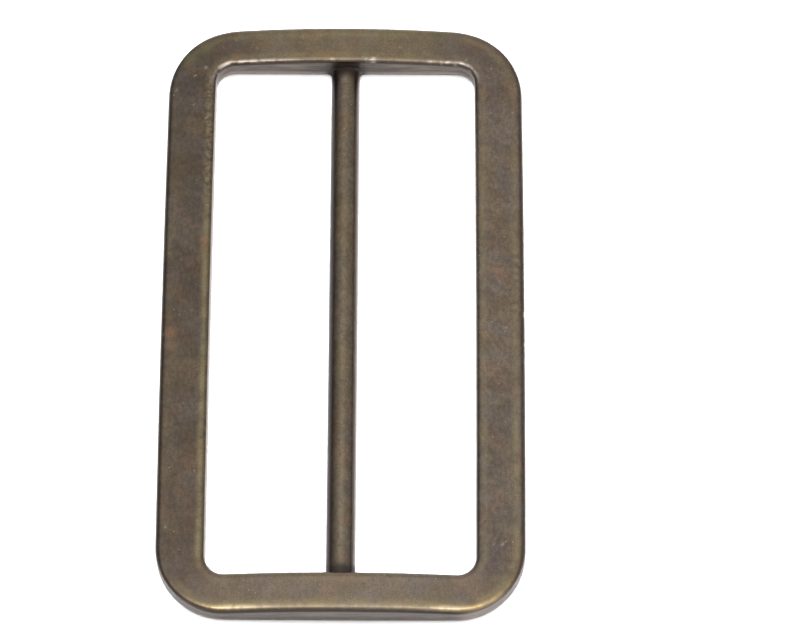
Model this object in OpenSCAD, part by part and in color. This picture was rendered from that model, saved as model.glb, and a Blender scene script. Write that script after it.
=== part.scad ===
/* [Frame] */
// Length along the centre bar, over both end rails
frame_length = 60; // [45:0.5:90]
// Width across the two slots, over both side rails
frame_width = 35; // [30:0.5:50]
// Thickness at the middle of an end rail, where it is greatest
frame_thickness = 3.2; // [2.6:0.1:5]
// Width of each side rail at its foot
side_rail_width = 4.7; // [3.5:0.05:6]
// Width of each end rail at its foot
end_rail_width = 3.95; // [3.5:0.05:6]
// Radius of the four outer corners, seen from above
outer_corner_radius = 7; // [6:0.1:9]
// Radius of the openings' corners next to the side rails, seen from above
inner_corner_radius = 1.8; // [1.5:0.1:3]

/* [Casting] */
// How far the side rails' top lies below the middle of the end rails
crown_height = 0.7; // [0.2:0.05:1]
// Share of the crown's width that is convex, before it curves back to level
convex_share = 0.95; // [0.4:0.05:0.95]
// Draft of the outer walls in degrees, widest at the foot
draft_angle = 2.2; // [0:0.1:4]
// Rounding of the outer top edge
outer_rounding = 0.7; // [0.4:0.05:1.2]
// Rounding of the openings' top edge
inner_rounding = 0.5; // [0.3:0.05:1]
// Rounding of the openings' bottom edge
foot_rounding = 0.3; // [0.2:0.05:0.8]

/* [Centre bar] */
// Width of the bar that the webbing wraps round
bar_width = 2.8; // [2.2:0.1:3.2]
// Height of the bar above the flat underside
bar_height = 1.7; // [1.5:0.1:2.4]
// Radius of the fillets where the bar meets the end rails
bar_fillet_radius = 0.5; // [0.3:0.1:2]

/* [Hidden] */
$fn = 96;

// Room by which a cutting shape stands clear of the metal that it cuts
clearance = 0.5;
// A shorter stretch than this counts as none
least_stretch = 0.01;

side_thickness = frame_thickness - crown_height;
half_width = frame_width / 2;
half_length = frame_length / 2;
opening_half_width = half_width - side_rail_width;
opening_half_length = half_length - end_rail_width;

// The axis of an opening's corner
inner_corner_x = opening_half_width - inner_corner_radius;
inner_corner_y = opening_half_length - inner_corner_radius;

// The crown: a convex arc over the middle of the width, then a concave one back to level.
// Both turn through the same angle, so that together they drop by crown_height. The crown spans
// a whole number of its own heights, which makes its two radii round numbers.
outer_corner_x = half_width - outer_corner_radius;
heights_in_span = floor((min(outer_corner_x, inner_corner_x) + least_stretch) / crown_height);
crown_half_span = heights_in_span * crown_height;
crown_angle = 2 * atan(1 / heights_in_span);
crown_radii_sum = crown_height * (heights_in_span * heights_in_span + 1) / 2;
convex_radius = round(convex_share * crown_radii_sum);
concave_radius = crown_radii_sum - convex_radius;
convex_axis_z = frame_thickness - convex_radius;
concave_axis_z = side_thickness + concave_radius;

// The corners' axis, measured along the bar. The crowned middle stands higher than the corners,
// so its drafted wall runs out by a little more, and that makes up the full half length.
outer_corner_y = half_length - crown_height * tan(draft_angle) - outer_corner_radius;

// Depth of the sections that are swept before the underside is cut flat
blank_depth = frame_thickness + clearance;

bar_half_width = bar_width / 2;
// The bar's round top is a half circle that stands on short upright sides
bar_side_height = bar_height - bar_half_width;

// The outer wall in section, from the corners' axis outwards. y is the height over the top face.
// The drafted wall is one outer_corner_radius out at the side rails' underside.
module outer_section() {
    wall_lean = (side_thickness - outer_rounding) * sin(draft_angle);
    round_x = outer_corner_radius - (outer_rounding + wall_lean) / cos(draft_angle);
    polygon([
        [0, -blank_depth],
        [outer_corner_radius + (blank_depth - side_thickness) * tan(draft_angle), -blank_depth],
        [
            round_x + outer_rounding * cos(draft_angle),
            outer_rounding * (sin(draft_angle) - 1)
        ],
        [round_x, 0],
        [0, 0]
    ]);
    translate([round_x, -outer_rounding]) circle(r = outer_rounding);
}

// The same wall on a solid that reaches in to the middle of the length
module end_section() {
    translate([0, -blank_depth]) square([outer_corner_y, blank_depth]);
    translate([outer_corner_y, 0]) outer_section();
}

// What a rounded edge lacks of a sharp one, in section. x runs from the wall into the metal
// and y is the height over the top face.
module edge_waste(radius) {
    difference() {
        translate([-clearance, -radius]) square(clearance + radius);
        translate([radius, -radius]) circle(r = radius);
    }
}

// The two sides of the line through the crown's two axes, on which its arcs meet
module convex_side() {
    polygon([[0, convex_axis_z], [crown_half_span, concave_axis_z], [0, concave_axis_z]]);
}

module concave_side() {
    polygon([
        [0, convex_axis_z], [crown_half_span, convex_axis_z], [crown_half_span, concave_axis_z]
    ]);
}

// Sweeps a section, whose x runs along the bar and whose y is the height over the top face,
// over one half of the crown.
module along_crown() {
    intersection() {
        translate([0, 0, convex_axis_z])
            rotate([-90, -90, 0])
                rotate_extrude(angle = 2 * crown_angle)
                    translate([convex_radius, 0]) mirror([1, -1]) children();
        along_side(frame_length) convex_side();
    }
    intersection() {
        translate([crown_half_span, 0, concave_axis_z])
            rotate([-90, 90, 0])
                rotate_extrude(angle = 2 * crown_angle)
                    translate([concave_radius, 0]) rotate(90) children();
        along_side(frame_length) concave_side();
    }
}

// Extrudes a section, whose x runs along X and whose y is the height, from the middle of the
// length as far as the corner.
module along_side(length) {
    translate([0, length, 0]) rotate([90, 0, 0]) linear_extrude(length) children();
}

// Extrudes a section, whose x runs along the bar and whose y is the height, across the width,
// unless the crown leaves no level stretch to fill.
module along_end(length) {
    if (length > least_stretch) rotate([90, 0, 90]) linear_extrude(length) children();
}

// One quarter of the casting before its openings are cut
module quarter_blank() {
    along_crown() end_section();
    translate([crown_half_span, 0, side_thickness])
        along_end(outer_corner_x - crown_half_span) end_section();
    translate([outer_corner_x, outer_corner_y, side_thickness])
        rotate_extrude(angle = 90) outer_section();
    translate([outer_corner_x, 0, side_thickness]) along_side(outer_corner_y) outer_section();
}

// One quarter of what rounds the openings' top edge
module quarter_top_waste() {
    along_crown() translate([opening_half_length, 0]) edge_waste(inner_rounding);
    translate([crown_half_span, 0, side_thickness])
        along_end(inner_corner_x - crown_half_span)
            translate([opening_half_length, 0]) edge_waste(inner_rounding);
    translate([inner_corner_x, inner_corner_y, side_thickness])
        rotate_extrude(angle = 90) translate([inner_corner_radius, 0]) edge_waste(inner_rounding);
    translate([opening_half_width, 0, side_thickness])
        along_side(inner_corner_y) edge_waste(inner_rounding);
}

// One quarter of what rounds the openings' bottom edge
module quarter_foot_waste() {
    mirror([0, 0, 1]) {
        along_end(inner_corner_x) translate([opening_half_length, 0]) edge_waste(foot_rounding);
        translate([inner_corner_x, inner_corner_y, 0])
            rotate_extrude(angle = 90) translate([inner_corner_radius, 0]) edge_waste(foot_rounding);
        translate([opening_half_width, 0, 0])
            along_side(inner_corner_y) edge_waste(foot_rounding);
    }
}

// One quarter of the window that the bar later divides into two slots
module quarter_window() {
    translate([0, 0, -clearance]) linear_extrude(frame_thickness + 2 * clearance) {
        square([inner_corner_x, opening_half_length]);
        square([opening_half_width, inner_corner_y]);
        translate([inner_corner_x, inner_corner_y]) circle(r = inner_corner_radius);
    }
}

// One quarter of the rectangular frame, flat below and crowned above
module quarter_frame() {
    difference() {
        quarter_blank();
        translate([-clearance, -clearance, -frame_thickness])
            cube([frame_width, frame_length, frame_thickness]);
        quarter_window();
        quarter_top_waste();
        quarter_foot_waste();
    }
}

// Half of the bar's section, from its edge at x = 0 to its middle line
module half_bar_section() {
    intersection() {
        square([bar_half_width, bar_height]);
        union() {
            square([bar_half_width, bar_side_height]);
            translate([bar_half_width, bar_side_height]) circle(r = bar_half_width);
        }
    }
}

// One quarter of the bar, with the fillet that blends it into the end rail
module quarter_bar() {
    bar_reach = opening_half_length + end_rail_width / 2;
    along_side(bar_reach) translate([bar_half_width, 0]) mirror([1, 0]) half_bar_section();
    translate([
        bar_half_width + bar_fillet_radius,
        opening_half_length - bar_fillet_radius,
        0
    ])
        rotate(90) rotate_extrude(angle = 90)
            translate([bar_fillet_radius, 0]) half_bar_section();
}

module slider() {
    color("#6b5f4d")
        for (across = [0, 1], along = [0, 1])
            mirror([across, 0, 0]) mirror([0, along, 0]) {
                quarter_frame();
                quarter_bar();
            }
}

slider();
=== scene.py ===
import math
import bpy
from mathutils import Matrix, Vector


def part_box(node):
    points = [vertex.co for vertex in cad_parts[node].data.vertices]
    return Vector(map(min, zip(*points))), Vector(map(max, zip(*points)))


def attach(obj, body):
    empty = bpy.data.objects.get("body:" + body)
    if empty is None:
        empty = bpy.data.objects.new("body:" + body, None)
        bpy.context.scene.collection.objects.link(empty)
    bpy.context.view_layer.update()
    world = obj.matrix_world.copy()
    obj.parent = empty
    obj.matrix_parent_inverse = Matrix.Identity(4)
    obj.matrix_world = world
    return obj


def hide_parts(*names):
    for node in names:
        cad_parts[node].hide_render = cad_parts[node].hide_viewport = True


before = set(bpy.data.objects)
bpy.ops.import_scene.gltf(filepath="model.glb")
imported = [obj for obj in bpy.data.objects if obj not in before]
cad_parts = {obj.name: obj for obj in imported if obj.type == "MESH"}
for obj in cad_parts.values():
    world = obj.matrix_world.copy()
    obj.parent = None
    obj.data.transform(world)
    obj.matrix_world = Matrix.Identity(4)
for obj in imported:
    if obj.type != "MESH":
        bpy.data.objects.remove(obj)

from types import SimpleNamespace

import bpy
import numpy as np
from mathutils import Vector, noise

MM = 0.001
QUARTER_TURN = math.pi / 2
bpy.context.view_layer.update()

# Sizes of the casting in millimetres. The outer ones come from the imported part's own box.
high_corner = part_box("slider")[1]
HALF_WIDTH = high_corner.x / MM
HALF_LENGTH = high_corner.y / MM
THICKNESS = high_corner.z / MM
SIDE_RAIL = 4.7
END_RAIL = 3.95
# The far corners came out of the tumbler a little rounder than the near ones
FAR_CORNER = 7.2
NEAR_CORNER = 6.6
INNER_CORNER = 1.8
# The outer walls' draft, at the end rails and along the side rails
END_DRAFT = math.radians(2.2)
SIDE_DRAFT = math.radians(1.0)
# The end rails' top is crowned: convex in the middle, then concave, and level from the half span on
CROWN = 0.82
CROWN_HALF_SPAN = 12.6
CONVEX_SHARE = 0.78
# The top edges are tumbled rounder along the end rails than along the side rails
OUTER_ROUNDING_ENDS = 0.7
OUTER_ROUNDING_SIDES = 0.55
# They are sharper round the corners, by this much half way round
OUTER_CORNER_SHARPER = 0.22
INNER_ROUNDING_ENDS = 0.52
INNER_ROUNDING_SIDES = 0.45
FOOT_ROUNDING = 0.12
# The outer walls' foot has its burr tumbled off
FOOT_BREAK = 0.1
# The side rails lean in a little towards the corners, by this much where they reach them
SIDE_BOW = 0.09
BAR_HALF_WIDTH = 1.4
BAR_HEIGHT = 1.7
BAR_FILLET = 0.5
# The bar's underside clears the table by a hair, and its lower edges are blunt
BAR_UNDERSIDE = 0.03
BAR_EDGE = 0.15
# Sections of the bar inside the end rails' metal, by how deep they lie in it
BAR_INSIDE_RAIL = (0.3, 0.6, 1.0)

OPENING_HALF_WIDTH = HALF_WIDTH - SIDE_RAIL
OPENING_HALF_LENGTH = HALF_LENGTH - END_RAIL
SIDE_THICKNESS = THICKNESS - CROWN
# How far the end rails' drafted outer walls lean in where they are lowest
WALL_LEAN = SIDE_THICKNESS * math.tan(END_DRAFT)
# Half the length at the corners: the crowned middle stands higher, so its drafted wall runs out further
CORNER_REACH = HALF_LENGTH - CROWN * math.tan(END_DRAFT)
# The axis of a near outer corner and of an inner corner
OUTER_AXIS = np.array([HALF_WIDTH - NEAR_CORNER, CORNER_REACH - NEAR_CORNER])
INNER_AXIS = np.array([OPENING_HALF_WIDTH - INNER_CORNER, OPENING_HALF_LENGTH - INNER_CORNER])
# Both of the crown's arcs turn through the same angle, so that their radii share its span
CROWN_RADII = (CROWN_HALF_SPAN ** 2 + CROWN ** 2) / (2 * CROWN)
CONVEX_RADIUS = CONVEX_SHARE * CROWN_RADII
CONCAVE_RADIUS = CROWN_RADII - CONVEX_RADIUS

# Spacing of the mesh along the rails, and steps across each part of a rail's section
RAIL_STEP = 0.2
FOOT_STEPS = 5
WALL_STEPS = 7
INNER_STEPS = 9
FACE_STEPS = 18
OUTER_STEPS = 11
BREAK_STEPS = 2
UNDERSIDE_STEPS = 8
# Steps over half of the bar's round top, round its lower edge, across its underside and along its fillet
BAR_TOP_STEPS = 12
BAR_EDGE_STEPS = 2
BAR_UNDER_STEPS = 6
BAR_FILLET_STEPS = 8


def mix(first, second, share):
    return first + (second - first) * share


def ramp(value, start, end):
    """Rises smoothly from 0 at start to 1 at end."""
    t = np.clip((value - start) / (end - start), 0, 1)
    return t * t * (3 - 2 * t)


def fade(value, start, end):
    """Falls smoothly from 1 at start to 0 at end."""
    return 1 - ramp(value, start, end)


def bell(value, middle, spread):
    return np.exp(-((value - middle) / spread) ** 2)


def crown_top(x):
    """Height of the top face over the underside."""
    x = np.abs(x)
    middle = THICKNESS - CONVEX_RADIUS + np.sqrt(np.maximum(CONVEX_RADIUS ** 2 - x ** 2, 0))
    flank_x = np.clip(CROWN_HALF_SPAN - x, 0, None)
    flank = SIDE_THICKNESS + CONCAVE_RADIUS - np.sqrt(np.maximum(CONCAVE_RADIUS ** 2 - flank_x ** 2, 0))
    return np.where(x < CONVEX_SHARE * CROWN_HALF_SPAN, middle, flank)


def rail_stations():
    """Stations counter-clockwise round the frame: each one's outer axis, outer radius, inner axis and
    outward way."""
    corners = []
    for side, end in ((1, 1), (-1, 1), (-1, -1), (1, -1)):
        radius = FAR_CORNER if end > 0 else NEAR_CORNER
        axis = (side * (HALF_WIDTH - radius), end * (CORNER_REACH - radius))
        corners.append(np.array([*axis, radius, side * INNER_AXIS[0], end * INNER_AXIS[1]]))
    corner_steps = round(NEAR_CORNER * QUARTER_TURN / RAIL_STEP)
    rows, turn = [], []
    for k, corner in enumerate(corners):
        start = k * QUARTER_TURN
        for i in range(corner_steps):
            rows.append(corner)
            turn.append(start + QUARTER_TURN * i / corner_steps)
        onwards = corners[(k + 1) % 4] - corner
        side_steps = round(np.linalg.norm(onwards[:2]) / RAIL_STEP)
        for i in range(side_steps):
            rows.append(corner + onwards * i / side_steps)
            turn.append(start + QUARTER_TURN)
    rows, turn = np.array(rows), np.array(turn)
    return rows[:, :2], rows[:, 2:3], rows[:, 3:], np.stack([np.cos(turn), np.sin(turn)], 1)


def tube_faces(rings, width, closed):
    """Faces from each ring of points to the next, and from the last to the first if the tube is closed."""
    faces = []
    for r in range(rings if closed else rings - 1):
        here, there = r * width, (r + 1) % rings * width
        for c in range(width):
            d = (c + 1) % width
            faces.append((here + c, here + d, there + d, there + c))
    return faces


def frame_mesh():
    """The rectangular frame as a closed tube of sections: vertices in millimetres, and faces."""
    outer, outer_radius, inner, way = rail_stations()
    endwards = way[:, 1] ** 2
    outer_rounding = mix(OUTER_ROUNDING_SIDES, OUTER_ROUNDING_ENDS, endwards)
    outer_rounding -= OUTER_CORNER_SHARPER * 4 * endwards * (1 - endwards)
    inner_rounding = mix(INNER_ROUNDING_SIDES, INNER_ROUNDING_ENDS, endwards)
    draft = mix(SIDE_DRAFT, END_DRAFT, endwards)
    columns = []

    def from_inner(offset):
        return inner + way * np.reshape(INNER_CORNER + offset, (-1, 1))

    def from_outer(offset):
        return outer + way * (outer_radius - np.reshape(offset, (-1, 1)))

    def column(plan, z):
        columns.append(np.column_stack([plan, np.broadcast_to(z, len(plan))]))

    def column_below_top(plan, depth):
        column(plan, crown_top(plan[:, 0]) - depth)

    # Up the opening's wall, from its rounded foot to its rounded top edge
    for i in range(FOOT_STEPS):
        a = QUARTER_TURN * i / FOOT_STEPS
        column(from_inner(FOOT_ROUNDING * (1 - math.sin(a))), FOOT_ROUNDING * (1 - math.cos(a)))
    wall = from_inner(0)
    wall_top = crown_top(wall[:, 0]) - inner_rounding
    for i in range(WALL_STEPS):
        column(wall, mix(FOOT_ROUNDING, wall_top, i / WALL_STEPS))
    for i in range(INNER_STEPS):
        a = QUARTER_TURN * i / INNER_STEPS
        column_below_top(from_inner(inner_rounding * (1 - math.cos(a))), inner_rounding * (1 - math.sin(a)))
    # Across the top face to the outer rounding
    wall_lean = (SIDE_THICKNESS - outer_rounding) * np.sin(draft)
    round_offset = (outer_rounding + wall_lean) / np.cos(draft)
    face_in, face_out = from_inner(inner_rounding), from_outer(round_offset)
    for i in range(FACE_STEPS):
        column_below_top(mix(face_in, face_out, i / FACE_STEPS), 0)
    # Over the outer rounding and down the drafted wall
    last = QUARTER_TURN - draft
    for i in range(OUTER_STEPS):
        a = last * i / OUTER_STEPS
        round_plan = from_outer(round_offset - outer_rounding * np.sin(a))
        column_below_top(round_plan, outer_rounding * (1 - np.cos(a)))
    wall_start = round_offset - outer_rounding * np.sin(last)
    wall_high = crown_top(from_outer(wall_start)[:, 0]) - outer_rounding * (1 - np.cos(last))
    foot_offset = wall_start - (wall_high - FOOT_BREAK) * np.tan(draft)
    for i in range(WALL_STEPS):
        share = i / WALL_STEPS
        column(from_outer(mix(wall_start, foot_offset, share)), mix(wall_high, FOOT_BREAK, share))
    # Round the foot and back under it
    for i in range(BREAK_STEPS + 1):
        a = QUARTER_TURN * i / BREAK_STEPS
        column(from_outer(foot_offset + FOOT_BREAK * (1 - math.cos(a))), FOOT_BREAK * (1 - math.sin(a)))
    foot_out, foot_in = columns[-1][:, :2], columns[0][:, :2]
    for i in range(1, UNDERSIDE_STEPS):
        column(mix(foot_out, foot_in, i / UNDERSIDE_STEPS), 0)

    points = np.stack(columns, 1).reshape(-1, 3)
    lean_in = np.minimum(np.abs(points[:, 1]) / OUTER_AXIS[1], 1) ** 2
    points[:, 0] *= 1 - SIDE_BOW / HALF_WIDTH * lean_in
    return points, tube_faces(len(way), len(columns), closed=True)


def bar_mesh():
    """The centre bar, half round over a flat underside, with a small fillet into each end rail."""
    flare_x = BAR_HALF_WIDTH + BAR_FILLET
    flare_y = OPENING_HALF_LENGTH - BAR_FILLET
    side_height = BAR_HEIGHT - BAR_HALF_WIDTH
    middle = np.arange(0, flare_y, RAIL_STEP)
    flare = flare_y + BAR_FILLET * np.sin(np.linspace(0, QUARTER_TURN, BAR_FILLET_STEPS))
    half = np.concatenate([middle, flare, OPENING_HALF_LENGTH + np.array(BAR_INSIDE_RAIL)])
    rows = []
    for y in np.concatenate([-half[:0:-1], half]):
        into_flare = min(max(abs(y) - flare_y, 0), BAR_FILLET)
        top = []
        for i in range(BAR_TOP_STEPS + 1):
            a = QUARTER_TURN * i / BAR_TOP_STEPS
            inwards = BAR_HALF_WIDTH * (1 - math.cos(a))
            x = flare_x - math.sqrt(max((BAR_FILLET + inwards) ** 2 - into_flare ** 2, 0))
            top.append((max(x, 0), side_height + BAR_HALF_WIDTH * math.sin(a)))
        side_x = top[0][0]
        edge = []
        for i in range(BAR_EDGE_STEPS + 1):
            a = QUARTER_TURN * i / BAR_EDGE_STEPS
            edge_x = side_x - BAR_EDGE * (1 - math.sin(a))
            edge.append((edge_x, BAR_UNDERSIDE + BAR_EDGE * (1 - math.cos(a))))
        right = edge + top
        ring = [(x, y, z) for x, z in right]
        ring += [(-x, y, z) for x, z in reversed(right[:-1])]
        under_x = right[0][0]
        for i in range(1, BAR_UNDER_STEPS):
            ring.append((mix(-under_x, under_x, i / BAR_UNDER_STEPS), y, BAR_UNDERSIDE))
        rows.append(ring)
    rings, width = len(rows), len(rows[0])
    faces = [face[::-1] for face in tube_faces(rings, width, closed=False)]
    faces.append(tuple(range(width)))
    faces.append(tuple(reversed(range((rings - 1) * width, rings * width))))
    return np.array(rows).reshape(-1, 3), faces


def mesh_object(name, points, faces):
    mesh = bpy.data.meshes.new(name)
    mesh.from_pydata((points * MM).tolist(), [], faces)
    mesh.validate()
    mesh.update()
    made = bpy.data.objects.new(name, mesh)
    bpy.context.scene.collection.objects.link(made)
    return made


def join_bar(casting, bar):
    """Joins the bar to the frame as one closed skin."""
    union = casting.modifiers.new("bar", "BOOLEAN")
    union.operation = "UNION"
    union.solver = "EXACT"
    union.object = bar
    bpy.context.view_layer.objects.active = casting
    bpy.ops.object.modifier_apply(modifier=union.name)
    bpy.data.objects.remove(bar)


def vectors_of(mesh, what):
    """Every vertex's place ("co") or normal ("normal")."""
    flat = np.empty(len(mesh.vertices) * 3, np.float32)
    mesh.vertices.foreach_get(what, flat)
    return flat.reshape(-1, 3).astype(float)


# How far apart the noise's seeds lie in it, and the least length that counts
SEED_STEPS = (17.3, 5.1, 9.7)
LEAST = 1e-6


def noise_at(points, size, seed):
    """Smooth noise from -1 to 1 at each point, with lumps about size millimetres across."""
    shift = Vector([seed * step for step in SEED_STEPS])
    return np.array([noise.noise(Vector(p) / size + shift) for p in points.tolist()])


def outside_by(points, half_width, half_length, corner):
    """Plan distance from a rounded rectangle's outline, positive outside it."""
    past = np.abs(points[:, :2]) - [half_width, half_length] + np.reshape(corner, (-1, 1))
    return np.linalg.norm(np.maximum(past, 0), axis=1) + np.minimum(past.max(1), 0) - corner


# A spot is whole up to this share of its radius, and gone at the other
SPOT_WHOLE = 0.3
SPOT_GONE = 1.3


def spots(points, places):
    """Soft round spots seen from above, each (x, y, radius, strength). The strongest one counts."""
    total = np.zeros(len(points))
    for x, y, radius, strength in places:
        away = np.hypot(points[:, 0] - x, points[:, 1] - y)
        total = np.maximum(total, strength * fade(away, SPOT_WHOLE * radius, SPOT_GONE * radius))
    return total


# Casting pits and knocks on the top face and its edges: x, y, radius and depth in millimetres
PITS = [
    (16.6, 6.0, 0.2, 0.05), (16.7, 5.2, 0.2, 0.06), (17.1, 4.8, 0.2, 0.07), (16.6, 4.2, 0.22, 0.05),
    (16.6, 3.5, 0.2, 0.05), (16.5, 1.2, 0.2, 0.05), (16.5, 0.4, 0.24, 0.06), (15.7, 2.5, 0.2, 0.04),
    (15.8, -0.4, 0.2, 0.04), (17.3, 0.0, 0.35, 0.08), (17.3, -3.1, 0.25, 0.06), (-13.8, 22.6, 0.25, 0.05),
    (-13.7, 21.5, 0.22, 0.06), (9.4, 29.2, 0.3, 0.03), (8.6, 29.3, 0.25, 0.03), (10.2, 29.1, 0.25, 0.03),
    (-0.1, 24.5, 0.2, 0.05), (0.0, 22.8, 0.22, 0.05), (0.2, 20.9, 0.2, 0.04),
]
# Along the opening's far edge several of these are beads of painted highlight
# Places polished through to bare metal: x, y and radius in millimetres, and how bright
SPECKS = [
    (-15.6, 5.4, 0.10, 0.5), (-14.5, 0.3, 0.09, 0.4), (-13.3, 1.7, 0.10, 0.5), (-14.8, 24.8, 0.14, 0.6),
    (-13.7, 25.7, 0.22, 0.45), (-12.1, 27.9, 0.10, 0.4), (-8.8, 27.7, 0.13, 0.5), (-14.8, 21.8, 0.10, 0.4),
    (-16.6, 23.3, 0.10, 0.4), (-14.1, -21.9, 0.09, 0.3), (-9.2, -27.5, 0.14, 0.6), (15.0, 0.7, 0.10, 0.5),
    (15.2, -4.2, 0.10, 0.4), (15.15, -23.2, 0.14, 0.5), (14.4, -23.1, 0.10, 0.4), (15.6, -1.5, 0.12, 0.5),
    (14.6, 2.3, 0.09, 0.4), (-17.2, -2.4, 0.09, 0.5), (-1.3, 26.3, 0.20, 0.6), (2.7, 26.3, 0.35, 0.9),
    (2.1, 26.35, 0.25, 0.8), (-12.4, 25.1, 0.25, 0.7), (12.1, 25.4, 0.32, 1.0), (10.9, 26.1, 0.28, 0.8),
    (9.5, 26.3, 0.25, 0.7), (8.3, 26.3, 0.2, 0.6), (-16.4, -21.6, 0.14, 0.5), (-13.6, 20.3, 0.14, 0.4),
    (11.9, 26.6, 0.11, 0.4), (16.4, 21.0, 0.11, 0.4),
]
# Places where the patina took redder, and others where it took greener
RED_STAINS = [
    (-13.5, 6.6, 0.5, 0.8), (-13.5, 7.4, 0.5, 0.8), (-16.5, -2.2, 0.7, 0.7), (-16.4, -3.4, 0.7, 0.5),
    (-2.4, 26.95, 0.5, 0.7), (-1.2, 26.75, 0.5, 0.8), (-0.4, 26.6, 0.4, 0.6), (-10.6, 26.9, 0.8, 0.4),
    (15.9, 24.2, 0.5, 0.5),
]
GREEN_STAINS = [
    (-17.0, 6.0, 0.4, 0.8), (-17.05, 6.8, 0.45, 0.9), (-17.0, 7.6, 0.4, 0.8), (-3.2, 27.8, 0.25, 0.7),
    (-2.7, 27.95, 0.25, 0.7), (-13.9, 28.0, 0.9, 0.7), (-15.4, 26.7, 0.9, 0.6), (9.2, 29.3, 0.9, 0.9),
]
# How uneven the tumbling left the skin: the width of its lumps and their depth, slow ones first
UNEVENNESS = [(5.0, 0.018), (1.6, 0.008), (0.7, 0.003)]
# Heights over which the pits set in, so that they stay off the underside
PITTED_HEIGHTS = (0.3, 1.2)


def weather(mesh):
    """Makes the skin as uneven as a tumbled casting's, always inwards, and dents it where it is pitted."""
    points, normals = vectors_of(mesh, "co") / MM, vectors_of(mesh, "normal")
    depth = spots(points, PITS) * ramp(points[:, 2], *PITTED_HEIGHTS)
    for seed, (size, deepest) in enumerate(UNEVENNESS, start=1):
        depth += deepest * mix(0.5, 1, noise_at(points, size, seed))
    moved = points - normals * depth[:, None]
    moved[:, 2] = np.maximum(moved[:, 2], 0)
    mesh.vertices.foreach_set("co", (moved * MM).astype(np.float32).ravel())
    mesh.update()


def rail_shares(points):
    """How far each point belongs to the left, near, right and far rail. On the frame they add up to 1."""
    beyond = np.maximum(np.abs(points[:, :2]) - OUTER_AXIS, 0) * np.sign(points[:, :2])
    way = beyond / np.maximum(np.linalg.norm(beyond, axis=1), LEAST)[:, None]
    left, near = np.maximum(-way, 0).T ** 2
    right, far = np.maximum(way, 0).T ** 2
    return left, near, right, far


# From here on each pair is a place in millimetres: where a change starts and where it is complete, or the
# middle of a line and its spread. First the depths where the top face ends and where a wall begins.
TOP_ENDS = (0.15, 0.5)
WALL_BEGINS = (0.4, 0.8)
# Where the corners begin, as distances from the slider's middle
NEAR_CORNERS_ACROSS = (10.0, 13.0)
NEAR_CORNERS_ALONG = (21.0, 24.0)
FAR_CORNERS_ACROSS = (9.0, 13.0)
FAR_CORNERS_ALONG = (19.0, 24.0)
# Where the painted light on the near right corner's wall sets in, going right
PAINTED_LIGHT_CORNER = (8.0, 12.0)
# The bar begins this far inside the opening's outline
BAR_CLEARANCE = 0.02


def lie_of(points):
    """Where each point lies: in millimetres, and how far it belongs to a rail, a corner or half a rail."""
    at = SimpleNamespace(points=points)
    at.x, at.y, at.z = points.T
    at.across = np.abs(at.x)
    at.left, at.near, at.right, at.far = rail_shares(points)
    corner = np.where(at.y > 0, FAR_CORNER, NEAR_CORNER) - WALL_LEAN
    at.from_outline = -outside_by(points, HALF_WIDTH - WALL_LEAN, CORNER_REACH - WALL_LEAN, corner)
    at.from_opening = outside_by(points, OPENING_HALF_WIDTH, OPENING_HALF_LENGTH, INNER_CORNER)
    at.on_bar = (at.from_opening < -BAR_CLEARANCE) & (at.across < BAR_HALF_WIDTH + BAR_FILLET)
    at.outer_half = (at.from_outline < at.from_opening) & ~at.on_bar
    at.inner_half = ~at.outer_half & ~at.on_bar
    at.below_crown = crown_top(at.x) - at.z
    at.depth = np.where(at.on_bar, BAR_HEIGHT - at.z, at.below_crown)
    at.on_top = fade(at.depth, *TOP_ENDS)
    at.near_corner = ramp(at.across, *NEAR_CORNERS_ACROSS) * ramp(-at.y, *NEAR_CORNERS_ALONG)
    at.pale_corner = at.near_corner * ramp(at.x, *PAINTED_LIGHT_CORNER) * at.outer_half
    return at


def by_rail(at, left=0.0, near=0.0, right=0.0, far=0.0):
    """A strength for each rail, blended round the corners."""
    return left * at.left + near * at.near + right * at.right + far * at.far


# Rubbed strips, in from the opening's edge or from the outline
INNER_STRIP = (0.75, 0.27)
LEFT_INNER_STRIP = (0.58, 0.27)
LEFT_INNER_EDGE = (0.18, 0.22)
OUTER_STRIP = (0.85, 0.35)
# Where the right rail is rubbed more, going towards the viewer
RUBBED_MORE = (6.0, 14.0)
# Where the rubbing on the end rails and on the bar's ridge ends, away from the middle
MID_RAIL = (7.0, 13.0)
BAR_RIDGE = (0.2, 1.0)


def rubbed_brass(at):
    """Brass rubbed back along each edge by handling, and along the bar's ridge by the webbing."""
    inner_strip = bell(at.from_opening, *INNER_STRIP) * by_rail(at, near=0.2, right=0.45, far=0.45)
    # On the left rail the strip is partly rubbed brass and partly a painted highlight
    inner_strip += bell(at.from_opening, *LEFT_INNER_STRIP) * by_rail(at, left=0.75)
    inner_strip += bell(at.from_opening, *LEFT_INNER_EDGE) * by_rail(at, left=0.35)
    right = 0.3 + 0.3 * ramp(-at.y, *RUBBED_MORE)
    outer_strip = by_rail(at, left=0.1, near=0.6, right=right, far=0.4) * bell(at.from_outline, *OUTER_STRIP)
    mid_rail = fade(at.across, *MID_RAIL) * by_rail(at, near=0.1, far=0.3)
    bar_ridge = 0.3 * fade(at.across, *BAR_RIDGE)
    return np.where(at.on_bar, bar_ridge, inner_strip + outer_strip + mid_rail) * at.on_top


# The bright line is polished brass with a painted highlight on it
# The bright line in from the near rail's outline, between its corners and round them, and its depth
POLISH_HIGHLIGHT_LINE = (0.46, 0.26)
POLISH_HIGHLIGHT_CORNER_LINE = (0.40, 0.18)
POLISH_HIGHLIGHT_DEPTH = (0.14, 0.3)
# How fast it dies away round the corners, and where it is brightest
POLISH_HIGHLIGHT_TAPER = 1.2
BRIGHT_ON_LEFT = (-10.2, 2.6)
BRIGHT_ON_RIGHT = (8.0, 10.0)


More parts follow.
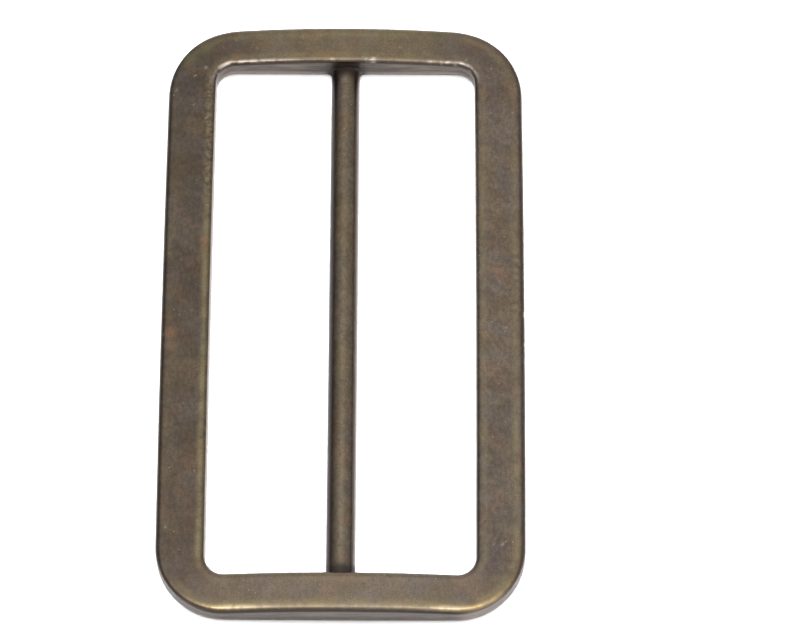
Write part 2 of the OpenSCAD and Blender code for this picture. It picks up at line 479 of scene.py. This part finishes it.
def polished_brass_and_highlight(at):
    """The near rail's outer edge, a burnished line and painted highlight, brightest left of its middle."""
    pairs = zip(POLISH_HIGHLIGHT_LINE, POLISH_HIGHLIGHT_CORNER_LINE)
    line = bell(at.from_outline, *(mix(straight, corner, at.near_corner) for straight, corner in pairs))
    line *= 0.2 + 0.7 * bell(at.x, *BRIGHT_ON_LEFT) + 0.55 * ramp(at.x, *BRIGHT_ON_RIGHT)
    return line * at.near ** POLISH_HIGHLIGHT_TAPER * fade(at.depth, *POLISH_HIGHLIGHT_DEPTH) * at.outer_half


# The worn line carries a painted highlight too
# The worn line out from the opening's far edge, its depth, and how fast it dies away round the corners
BARE_HIGHLIGHT_LINE = (0.26, 0.16)
BARE_HIGHLIGHT_DEPTH = (0.12, 0.28)
BARE_HIGHLIGHT_TAPER = 0.7
# Where the webbing pulled hardest and the painted highlight is brightest, going left and right from the
# middle
BRIGHTER_LEFT = (4.0, 9.0)
BRIGHTER_RIGHT = (8.0, 11.0)


def bare_zinc_and_highlight(at):
    """Far edge where the webbing pulls, and specks: worn through to pale zinc, and a painted highlight."""
    brighter = 0.1 + 0.7 * np.maximum(ramp(-at.x, *BRIGHTER_LEFT), ramp(at.x, *BRIGHTER_RIGHT))
    line = brighter * bell(at.from_opening, *BARE_HIGHLIGHT_LINE) * fade(at.depth, *BARE_HIGHLIGHT_DEPTH)
    return np.maximum(line * at.far ** BARE_HIGHLIGHT_TAPER * at.inner_half, spots(at.points, SPECKS) * at.on_top)


# Depths of the painted dark line, and of the painted darker top of the near rail's wall
DARK_LINE = (0.40, 0.2)
NEAR_WALL_DARKENS = (0.35, 0.45)
NEAR_WALL_LIGHTENS = (0.4, 1.3)
# Dark lines in from the outline of the side rails; on the left rail it is painted shade
RIGHT_OUTER_LINE = (0.1, 0.3)
LEFT_OUTER_LINE = (0.1, 0.22)
# The bar's left flank, painted dark as shade, going left, and the painted dark line along its right
BAR_LEFT_FLANK = (0.6, 1.1)
BAR_RIGHT_LINE = (1.05, 0.16)


def painted_dark_lines(at):
    """Painted dark lines: shade and dark reflection under the bright edges, down others and on the bar."""
    rails = np.sqrt(at.near) * at.outer_half + np.maximum(np.sqrt(at.far), at.right) * at.inner_half
    lines = bell(at.depth, *DARK_LINE) * rails
    near_wall = ramp(at.depth, *NEAR_WALL_DARKENS) * fade(at.depth, *NEAR_WALL_LIGHTENS)
    lines += near_wall * by_rail(at, near=0.5) * at.outer_half
    # At the near right corner, where the wall is painted pale as light, the painted dark line nearly goes
    lines *= mix(1, 0.1, at.pale_corner)
    lines += bell(at.from_outline, *RIGHT_OUTER_LINE) * by_rail(at, right=0.65) * at.outer_half
    lines += bell(at.from_outline, *LEFT_OUTER_LINE) * by_rail(at, left=0.6) * at.outer_half
    return lines + at.on_bar * (ramp(-at.x, *BAR_LEFT_FLANK) + 0.7 * bell(at.x, *BAR_RIGHT_LINE))


# Depths between which the left rail's inner wall is paler, as painted light
BRIGHT_WALL_BEGINS = (0.16, 0.3)
BRIGHT_WALL_ENDS = (1.2, 2.0)
# Where the bar's right flank is paler in the same way, as painted light: going right, and up to these
# heights
BRIGHT_FLANK = (1.18, 1.3)
BRIGHT_FLANK_ENDS = (0.7, 1.0)


def painted_light_on_walls(at):
    """Painted light: the left rail's inner wall and the bar's right flank, paler where they face right."""
    wall = ramp(at.depth, *BRIGHT_WALL_BEGINS) * fade(at.depth, *BRIGHT_WALL_ENDS) * by_rail(at, left=0.9) * at.inner_half
    return wall + at.on_bar * ramp(at.x, *BRIGHT_FLANK) * fade(at.z, *BRIGHT_FLANK_ENDS)


# How far from the bar's ends the painted shade of the nooks reaches, at the near and at the far rail
NEAR_NOOKS = (0.75, 1.5)
FAR_NOOKS = (0.3, 1.15)
# The far rail's wall is painted darker as shade for this much beside the bar, from these heights up
BESIDE_BAR = 3.5
BESIDE_BAR_HEIGHTS = (0.1, 0.7)


def painted_nook_shade(at):
    """Painted shade, nearly black, where the bar runs into the end rails and beside it on the far wall."""
    from_bar_end = np.hypot(np.maximum(at.across - BAR_HALF_WIDTH, 0), np.abs(at.y) - OPENING_HALF_LENGTH)
    nooks = np.where(at.y < 0, fade(from_bar_end, *NEAR_NOOKS), fade(from_bar_end, *FAR_NOOKS))
    beside_bar = bell(at.across, BAR_HALF_WIDTH, BESIDE_BAR) * by_rail(at, far=0.6) * at.inner_half
    nooks = np.maximum(nooks, beside_bar * ramp(at.z, *BESIDE_BAR_HEIGHTS))
    return nooks * ramp(at.below_crown, *WALL_BEGINS)


# Where the left rail's rubbed strip turns flaky, going towards the far end
FLAKY = (9.0, 14.0)
# Where the left rail's darkening, partly patina and partly painted shade, runs on along the far rail, going
# left
DARK_FAR_RAIL = (6.0, 11.0)
# Where the right rail gets darker, going towards the viewer
DARK_RIGHT_RAIL = (-4.0, 16.0)
# The share of the wall mark above which a place no longer counts as open to the tumbling
NO_LONGER_OPEN = 0.6


def mark_wear(mesh):
    """Stores what the finish depends on, as a share from 0 to 1 at every vertex."""
    at = lie_of(vectors_of(mesh, "co") / MM)
    rubbed = rubbed_brass(at)
    flaky = at.left * ramp(at.y, *FLAKY)
    wall = ramp(at.depth, *WALL_BEGINS)
    # How high up the walls the table's white shows in them
    foot_height = 0.5 + 0.5 * at.inner_half + 0.3 * at.near_corner + 0.3 * at.pale_corner
    marks = {
        "mottled": 1 - by_rail(at, near=0.5, far=0.5),
        "left_rail": np.clip(at.left + 0.6 * at.far * ramp(-at.x, *DARK_FAR_RAIL), 0, 1),
        "near_rail": at.near * ~at.on_bar,
        "low_right": at.right * ramp(-at.y, *DARK_RIGHT_RAIL),
        "near_corner": at.near_corner,
        "far_corner": ramp(at.across, *FAR_CORNERS_ACROSS) * ramp(at.y, *FAR_CORNERS_ALONG),
        "rubbed": rubbed * (1 - flaky),
        "flaked": rubbed * flaky,
        "red": 0.7 * spots(at.points, RED_STAINS) * at.on_top,
        "green": 0.7 * spots(at.points, GREEN_STAINS) * at.on_top,
        "wall": wall,
        "pale_corner": 0.7 * at.pale_corner,
        "foot": fade(at.z, 0, foot_height),
        "painted_bright_wall": painted_light_on_walls(at),
        "painted_dark_edge": painted_dark_lines(at),
        "painted_shade_nook": 0.75 * painted_nook_shade(at),
        "open_face": fade(wall, 0, NO_LONGER_OPEN),
        "polish_and_highlight": polished_brass_and_highlight(at),
        "bare_and_highlight": bare_zinc_and_highlight(at),
    }
    for name, values in marks.items():
        layer = mesh.attributes.new(name, "FLOAT", "POINT")
        layer.data.foreach_set("value", np.clip(values, 0, 1).astype(np.float32))


def cast_slider():
    """One closed casting: the frame with its bar joined on, then weathered."""
    casting = mesh_object("slider_casting", *frame_mesh())
    join_bar(casting, mesh_object("bar_blank", *bar_mesh()))
    casting.data.polygons.foreach_set("use_smooth", [True] * len(casting.data.polygons))
    mark_wear(casting.data)
    weather(casting.data)
    return casting


def linear(hexa):
    """An sRGB hex colour as linear numbers with alpha."""
    parts = [int(hexa[i:i + 2], 16) / 255 for i in (1, 3, 5)]
    return tuple(p / 12.92 if p <= 0.04045 else ((p + 0.055) / 1.055) ** 2.4 for p in parts) + (1.0,)


def add_node(tree, kind, settings=None, inputs=None):
    """Adds one node, sets its properties, and sets or links its inputs by name or number."""
    node = tree.nodes.new(kind)
    for key, value in (settings or {}).items():
        setattr(node, key, value)
    for key, value in (inputs or {}).items():
        if isinstance(value, bpy.types.NodeSocket):
            tree.links.new(value, node.inputs[key])
        else:
            node.inputs[key].default_value = value
    return node


# Numbers of a Mix node's sockets: its share, the colours under and over, and the colour that comes out
SHARE, UNDER, OVER, MIXED = 0, 6, 7, 2
# The same for one that mixes two numbers
UNDER_NUMBER, OVER_NUMBER, MIXED_NUMBER = 2, 3, 0


def lay_coats(tree, colour, coats):
    """Lays coats over a colour, each given by its share, its colour and how it mixes with those below."""
    for share, coat, mode in coats:
        laid = add_node(tree, "ShaderNodeMix", {"data_type": "RGBA", "blend_type": mode}, {
            SHARE: share, UNDER: colour, OVER: coat,
        })
        colour = laid.outputs[MIXED]
    return colour


# How far apart the seeds of the clouds and of the dots lie, in millimetres
CLOUD_STEPS = (31.7, 13.1, 7.9)
DOT_STEPS = (3.7, 8.1, 5.3)
# Dots are strewn over cells this wide. Their edge is soft, between these shares of their radius.
DOT_SPACING = 0.6
DOT_EDGE = (0.6, 1.4)
DOT_CHOICE = 0.02
# Patina multipliers: paler and greyer on the near rail, partly painted light, and darker on the right rail
PALER = (1.17, 1.20, 1.31, 1.0)
DARKER = (0.85, 0.88, 0.95, 1.0)
# Plating over zinc mirrors less at a grazing view than clean brass, under a thin clear lacquer
EDGE_TINT = (0.65, 0.65, 0.65, 1.0)
LACQUER = 0.3
LACQUER_ROUGHNESS = 0.25


def antique_brass(marks):
    """Brass plating on a tumbled zinc casting, darkened and rubbed back: a satin olive brown, mottled where
    the patina took unevenly, yellower and smoother where hands and webbing rub the edges, grey brown down
    the walls. The marks are the names of the shares that mark_wear stored."""
    material = bpy.data.materials.new("antique_brass_on_zinc")
    material.use_nodes = True
    tree = material.node_tree
    tree.nodes.clear()
    in_mm = add_node(tree, "ShaderNodeVectorMath", {"operation": "SCALE"}, {
        "Vector": add_node(tree, "ShaderNodeTexCoord").outputs["Object"], "Scale": 1 / MM,
    }).outputs["Vector"]
    worn = {}
    for name in marks:
        worn[name] = add_node(tree, "ShaderNodeAttribute", {"attribute_name": name}).outputs["Fac"]

    def clouds(size, seed, detail=2.0, stretch=(1, 1, 1), noise_span=None, becomes=(0.0, 1.0)):
        """Clouds about size millimetres across, or as many times that as stretch says. With a noise span,
        that much of the noise becomes the numbers given, and the rest stays at their ends."""
        moved = add_node(tree, "ShaderNodeVectorMath", {"operation": "MULTIPLY_ADD"}, {
            0: in_mm, 1: [1 / s for s in stretch], 2: [seed * step for step in CLOUD_STEPS],
        })
        found = add_node(tree, "ShaderNodeTexNoise", {}, {
            "Vector": moved.outputs["Vector"], "Scale": 1 / size, "Detail": detail,
        }).outputs["Fac"]
        if noise_span is None:
            return found
        return add_node(tree, "ShaderNodeMapRange", {"interpolation_type": "SMOOTHSTEP"}, {
            "Value": found, "From Min": noise_span[0], "From Max": noise_span[1],
            "To Min": becomes[0], "To Max": becomes[1],
        }).outputs["Result"]

    def dots(seed, radius, kept, strength):
        """Round dots of a radius in millimetres, in the given share of the cells, on the open face only."""
        moved = add_node(tree, "ShaderNodeVectorMath", {"operation": "ADD"}, {
            0: in_mm, 1: [seed * step for step in DOT_STEPS],
        })
        cells = add_node(tree, "ShaderNodeTexVoronoi", {}, {
            "Vector": moved.outputs["Vector"], "Scale": 1 / DOT_SPACING,
        })
        choice = add_node(tree, "ShaderNodeSeparateColor", {}, {"Color": cells.outputs["Color"]})
        edge = [radius / DOT_SPACING * share for share in DOT_EDGE]
        found = worn["open_face"]
        for value, (start, end), whole in (
            (cells.outputs["Distance"], edge, strength),
            (choice.outputs["Red"], (kept, kept + DOT_CHOICE), 1.0),
        ):
            part = add_node(tree, "ShaderNodeMapRange", {"interpolation_type": "SMOOTHSTEP"}, {
                "Value": value, "From Min": start, "From Max": end, "To Min": whole, "To Max": 0.0,
            })
            found = add_node(tree, "ShaderNodeMath", {"operation": "MULTIPLY"}, {
                0: found, 1: part.outputs["Result"],
            }).outputs["Value"]
        return found

    # What comes in patches or flakes, and the bright metal, broken into beads under 1 mm long
    broken = {}
    for name, pattern in (
        ("left_rail", clouds(6.0, seed=9, noise_span=(0.3, 0.7), becomes=(0.75, 1.0))),
        ("rubbed", clouds(1.4, seed=4, detail=3.0, noise_span=(0.34, 0.62), becomes=(0.4, 1.0))),
        ("flaked", clouds(0.4, seed=12, detail=3.0, noise_span=(0.36, 0.66), becomes=(0.1, 1.0))),
        ("polish_and_highlight", clouds(0.7, seed=10, detail=1.0, noise_span=(0.40, 0.56), becomes=(0.6, 1.0))),
        ("bare_and_highlight", clouds(0.7, seed=10, detail=1.0, noise_span=(0.36, 0.60), becomes=(0.25, 1.0))),
    ):
        product = add_node(tree, "ShaderNodeMath", {"operation": "MULTIPLY"}, {0: worn[name], 1: pattern})
        broken[name] = product.outputs["Value"]

    # Grit of the tumbled skin. The real one is near 0.1 mm, drawn at 0.16 mm so that it shows.
    grit = clouds(0.16, seed=6, detail=1.0)
    grit_shade = clouds(0.16, seed=6, detail=1.0, noise_span=(0.25, 0.75), becomes=(0.87, 1.13))
    # Sparse bright specks, where a grain's tip is polished through, 0.16 mm across, and pits of 0.18 mm
    specks = dots(seed=1, radius=0.08, kept=0.12, strength=0.35)
    pits = dots(seed=2, radius=0.09, kept=0.14, strength=0.4)
    # Clouds and flecks of the patina, and streaks drawn out along the walls by the die
    cloud_shade = clouds(1.6, seed=3, detail=4.0, noise_span=(0.36, 0.64), becomes=(0.86, 1.12))
    fleck_shade = clouds(0.35, seed=11, stretch=(1, 1.6, 1), noise_span=(0.34, 0.66), becomes=(0.86, 1.14))
    streaks = clouds(0.2, seed=5, stretch=(14, 14, 1), noise_span=(0.35, 0.65))

    # Walls keep a grey brown patina; painted light makes them paler at the near right corner and the foot
    wall_colour = lay_coats(tree, linear("#332B26"), [
        (streaks, linear("#5B5048"), "MIX"),
        (worn["pale_corner"], linear("#80746F"), "MIX"),
        # The foot's paleness is a painted reflection of the white table
        (worn["foot"], linear("#A89E98"), "MIX"),
    ])
    # Polished brass with its painted highlight is golden round the near corners
    brass = lay_coats(tree, linear("#A89878"), [(worn["near_corner"], linear("#A48D5C"), "MIX")])
    colour = lay_coats(tree, linear("#534940"), [
        # The patina, from grey brown through olive to a warm brown in clouds 2 to 3 mm across, and mottled,
        # but less on the end rails, which were brushed more evenly
        (clouds(3.0, seed=1, noise_span=(0.40, 0.62)), linear("#55493A"), "MIX"),
        (clouds(2.2, seed=2, noise_span=(0.50, 0.70)), linear("#5A493B"), "MIX"),
        (worn["mottled"], cloud_shade, "MULTIPLY"),
        (worn["mottled"], fleck_shade, "MULTIPLY"),
        # The left rail darkest, partly patina and partly painted shade, and other places a little unlike
        (broken["left_rail"], linear("#CBC9C6"), "MULTIPLY"),
        # The near rail's paler tint is partly painted light
        (worn["near_rail"], PALER, "MULTIPLY"),
        (worn["low_right"], DARKER, "MULTIPLY"),
        (worn["near_corner"], linear("#F4F0ED"), "MULTIPLY"),
        (worn["far_corner"], linear("#F0EFF3"), "MULTIPLY"),
        # The edges' brass, rubbed back, and the stains
        (broken["rubbed"], linear("#6B6146"), "MIX"),
        (broken["flaked"], linear("#6B6146"), "MIX"),
        (worn["red"], linear("#6A5038"), "MIX"),
        (worn["green"], linear("#4F4D35"), "MIX"),
        # The walls, then painted light and shade: the paler right-facing walls, the dark lines and the nooks
        (worn["wall"], wall_colour, "MIX"),
        (worn["painted_bright_wall"], linear("#82766F"), "MIX"),
        (worn["painted_dark_edge"], linear("#201715"), "MIX"),
        (worn["painted_shade_nook"], linear("#241E1C"), "MIX"),
        # The fine grain over all of it, then the bright metal and its painted highlights
        (1.0, grit_shade, "MULTIPLY"),
        (specks, linear("#8F8674"), "MIX"),
        (pits, linear("#2E2923"), "MIX"),
        (broken["polish_and_highlight"], brass, "MIX"),
        (broken["bare_and_highlight"], linear("#A3978C"), "MIX"),
    ])

    # Satin patina, smoother where it is rubbed and rough in the nooks
    roughness = clouds(1.7, seed=7, detail=3.0, noise_span=(0.3, 0.7), becomes=(0.33, 0.40))
    for share, change in (
        (broken["rubbed"], -0.06),
        (broken["flaked"], -0.06),
        (worn["polish_and_highlight"], -0.10),
        (worn["bare_and_highlight"], -0.12),
        (worn["painted_shade_nook"], 0.4),
    ):
        roughness = add_node(tree, "ShaderNodeMath", {"operation": "MULTIPLY_ADD"}, {
            0: share, 1: change, 2: roughness,
        }).outputs["Value"]

    # Bump: a slow orange peel, the grit, and the pits, which go down
    peel = add_node(tree, "ShaderNodeBump", {}, {
        "Height": clouds(0.9, seed=8, detail=1.0), "Strength": 0.25, "Distance": 0.02 * MM,
    })
    gritty = add_node(tree, "ShaderNodeBump", {}, {
        "Height": grit, "Strength": 0.3, "Distance": 0.01 * MM, "Normal": peel.outputs["Normal"],
    })
    pitted = add_node(tree, "ShaderNodeBump", {"invert": True}, {
        "Height": pits, "Strength": 0.5, "Distance": 0.075 * MM, "Normal": gritty.outputs["Normal"],
    })
    shader = add_node(tree, "ShaderNodeBsdfPrincipled", {}, {
        "Base Color": colour, "Metallic": 1.0, "Roughness": roughness, "Normal": pitted.outputs["Normal"],
        "Specular Tint": EDGE_TINT, "Coat Weight": LACQUER, "Coat Roughness": LACQUER_ROUGHNESS,
    })
    add_node(tree, "ShaderNodeOutputMaterial", {}, {"Surface": shader.outputs["BSDF"]})
    return material


# Half the table's side, in metres, and the size of its matt grain
TABLE_HALF_SIDE = 1.5
TABLE_GRAIN = 0.5 * MM
TABLE_ROUGHNESS = 0.7


def white_table():
    """Matt white acrylic, lit until it is plain white but for the short shadow right beside the casting."""
    material = bpy.data.materials.new("white_acrylic")
    material.use_nodes = True
    tree = material.node_tree
    tree.nodes.clear()
    grain = add_node(tree, "ShaderNodeTexNoise", {}, {"Scale": 1 / TABLE_GRAIN}).outputs["Fac"]
    colour = lay_coats(tree, linear("#F2F2F2"), [(grain, linear("#F6F6F6"), "MIX")])
    shader = add_node(tree, "ShaderNodeBsdfPrincipled", {}, {
        "Base Color": colour, "Roughness": TABLE_ROUGHNESS, "Specular IOR Level": 0.0,
    })
    add_node(tree, "ShaderNodeOutputMaterial", {}, {"Surface": shader.outputs["BSDF"]})
    return material


def lay_table():
    side = TABLE_HALF_SIDE
    corners = [(-side, -side, 0), (side, -side, 0), (side, side, 0), (-side, side, 0)]
    mesh = bpy.data.meshes.new("table")
    mesh.from_pydata(corners, [], [(0, 1, 2, 3)])
    table = bpy.data.objects.new("table", mesh)
    table.data.materials.append(white_table())
    bpy.context.scene.collection.objects.link(table)


# The camera of the photograph, fitted to the slider's outline: looking down from the near end,
# with the slider left of the middle of the picture.
CAMERA_ELEVATION = math.radians(69.5)
CAMERA_AZIMUTH = math.radians(0.25)
CAMERA_DISTANCE = 0.3327
NEAREST_SEEN = 0.01
FOCAL_PIXELS = 3442
PICTURE_WIDTH = 800
SENSOR_WIDTH = 36
# Where the line of sight passes the slider's origin: to its right and below it in the picture
AIM_RIGHT = 5.48 * MM
AIM_DOWN = -0.06 * MM


def way_to(azimuth, elevation):
    """The direction to a place. Azimuth 0 is the viewer's side, and a quarter turn is the right."""
    flat = math.cos(elevation)
    return Vector((math.sin(azimuth) * flat, -math.cos(azimuth) * flat, math.sin(elevation)))


def set_camera():
    data = bpy.data.cameras.new("camera")
    data.sensor_width = SENSOR_WIDTH
    data.lens = FOCAL_PIXELS * SENSOR_WIDTH / PICTURE_WIDTH
    data.clip_start = NEAREST_SEEN
    camera = bpy.data.objects.new("camera", data)
    bpy.context.scene.collection.objects.link(camera)
    back = way_to(CAMERA_AZIMUTH, CAMERA_ELEVATION)
    right = Vector((math.cos(CAMERA_AZIMUTH), math.sin(CAMERA_AZIMUTH), 0))
    up = back.cross(right)
    camera.location = back * CAMERA_DISTANCE + right * AIM_RIGHT - up * AIM_DOWN
    camera.rotation_euler = back.to_track_quat("Z", "Y").to_euler()
    bpy.context.scene.camera = camera


def soft_box(name, azimuth, elevation, width, height, radiance):
    """A softbox 1 m away, with its angles in degrees and its radiance against a white of 1."""
    data = bpy.data.lights.new(name, "AREA")
    data.shape = "RECTANGLE"
    data.size = width
    data.size_y = height
    data.energy = radiance * math.pi * width * height
    lamp = bpy.data.objects.new(name, data)
    way = way_to(math.radians(azimuth), math.radians(elevation))
    lamp.location = way
    lamp.rotation_euler = way.to_track_quat("Z", "Y").to_euler()
    lamp.visible_camera = False
    bpy.context.scene.collection.objects.link(lamp)
    return lamp


# The exposure, which multiplies the whole room
EXPOSURE = 1.22
# The ceiling's glow: where it is centred, and its radiance by the cosine of the angle from there
CEILING_CENTRE = (0, -0.208, 0.978)
CEILING_GLOW = [
    (0.0, 0.4), (0.24, 0.5), (0.5, 0.75), (0.682, 0.95),
    (0.799, 1.28), (0.839, 1.56), (0.883, 2.5), (1.0, 2.5),
]
# The room's other glows: the way to each, the cosine of the angle from there at which it begins, and its
# radiance. They are the pale wall beyond the table, the room on the right, and a window low at the front
# right, which lightens the edge of the near right corner.
ROOM_GLOWS = [((0, 1, 0.1), 0.45, 1.15), ((1, 0, 0.2), 0.5, 0.5), ((0.6, -0.75, 0.35), 0.85, 3.2)]
# Seen past the table in a low view, the room is as pale as the table
SHOWN_ROOM = 0.9


def light_room():
    """A white ceiling that is brightest over the table, and a dimmer room round it with some glows."""
    world = bpy.data.worlds.new("room")
    world.use_nodes = True
    tree = world.node_tree
    tree.nodes.clear()
    way = add_node(tree, "ShaderNodeTexCoord").outputs["Generated"]

    # How directly the view faces the ceiling's centre, then each glow
    facing = []
    for direction in [CEILING_CENTRE] + [glow[0] for glow in ROOM_GLOWS]:
        cosine = add_node(tree, "ShaderNodeVectorMath", {"operation": "DOT_PRODUCT"}, {
            0: way, 1: Vector(direction).normalized(),
        })
        facing.append(cosine.outputs["Value"])

    brightest = max(radiance for _, radiance in CEILING_GLOW)
    ceiling = add_node(tree, "ShaderNodeValToRGB", {}, {"Fac": facing[0]})
    stops = ceiling.color_ramp.elements
    for cosine, _ in CEILING_GLOW[1:-1]:
        stops.new(cosine)
    for stop, (cosine, radiance) in zip(stops, CEILING_GLOW):
        stop.position = cosine
        stop.color = (radiance / brightest,) * 3 + (1,)
    total = add_node(tree, "ShaderNodeMath", {"operation": "MULTIPLY"}, {
        0: ceiling.outputs["Color"], 1: brightest * EXPOSURE,
    }).outputs["Value"]
    for cosine, (_, start, radiance) in zip(facing[1:], ROOM_GLOWS):
        glow = add_node(tree, "ShaderNodeMapRange", {"interpolation_type": "SMOOTHSTEP"}, {
            "Value": cosine, "From Min": start, "From Max": 1.0,
            "To Min": 0.0, "To Max": radiance * EXPOSURE,
        })
        total = add_node(tree, "ShaderNodeMath", {"operation": "ADD"}, {
            0: total, 1: glow.outputs["Result"],
        }).outputs["Value"]

    path = add_node(tree, "ShaderNodeLightPath")
    shown = add_node(tree, "ShaderNodeMix", {"data_type": "FLOAT"}, {
        SHARE: path.outputs["Is Camera Ray"], UNDER_NUMBER: total, OVER_NUMBER: SHOWN_ROOM,
    })
    background = add_node(tree, "ShaderNodeBackground", {}, {"Strength": shown.outputs[MIXED_NUMBER]})
    add_node(tree, "ShaderNodeOutputWorld", {}, {"Surface": background.outputs["Background"]})
    # The casting mirrors the room, and the softbox overhead alone lights the table
    world.cycles_visibility.diffuse = False
    bpy.context.scene.world = world


def light_studio():
    light_room()
    # Two small boxes in front draw the bright lines along the edges
    for name, azimuth in (("front_left", -20), ("front_right", 28)):
        box = soft_box(name, azimuth, elevation=57, width=0.28, height=0.28, radiance=2.7 * EXPOSURE)
        box.visible_diffuse = False
    # A wide box overhead, a little behind the casting, throws short shadows towards the viewer
    overhead = soft_box("overhead", azimuth=180, elevation=78.5, width=1.5, height=0.62, radiance=12.5)
    overhead.visible_glossy = False
    bpy.context.scene.view_settings.view_transform = "Standard"


slider = cast_slider()
wear_marks = [layer.name for layer in slider.data.attributes if layer.data_type == "FLOAT"]
slider.data.materials.append(antique_brass(wear_marks))
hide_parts("slider")
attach(slider, "root")
lay_table()
light_studio()
set_camera()
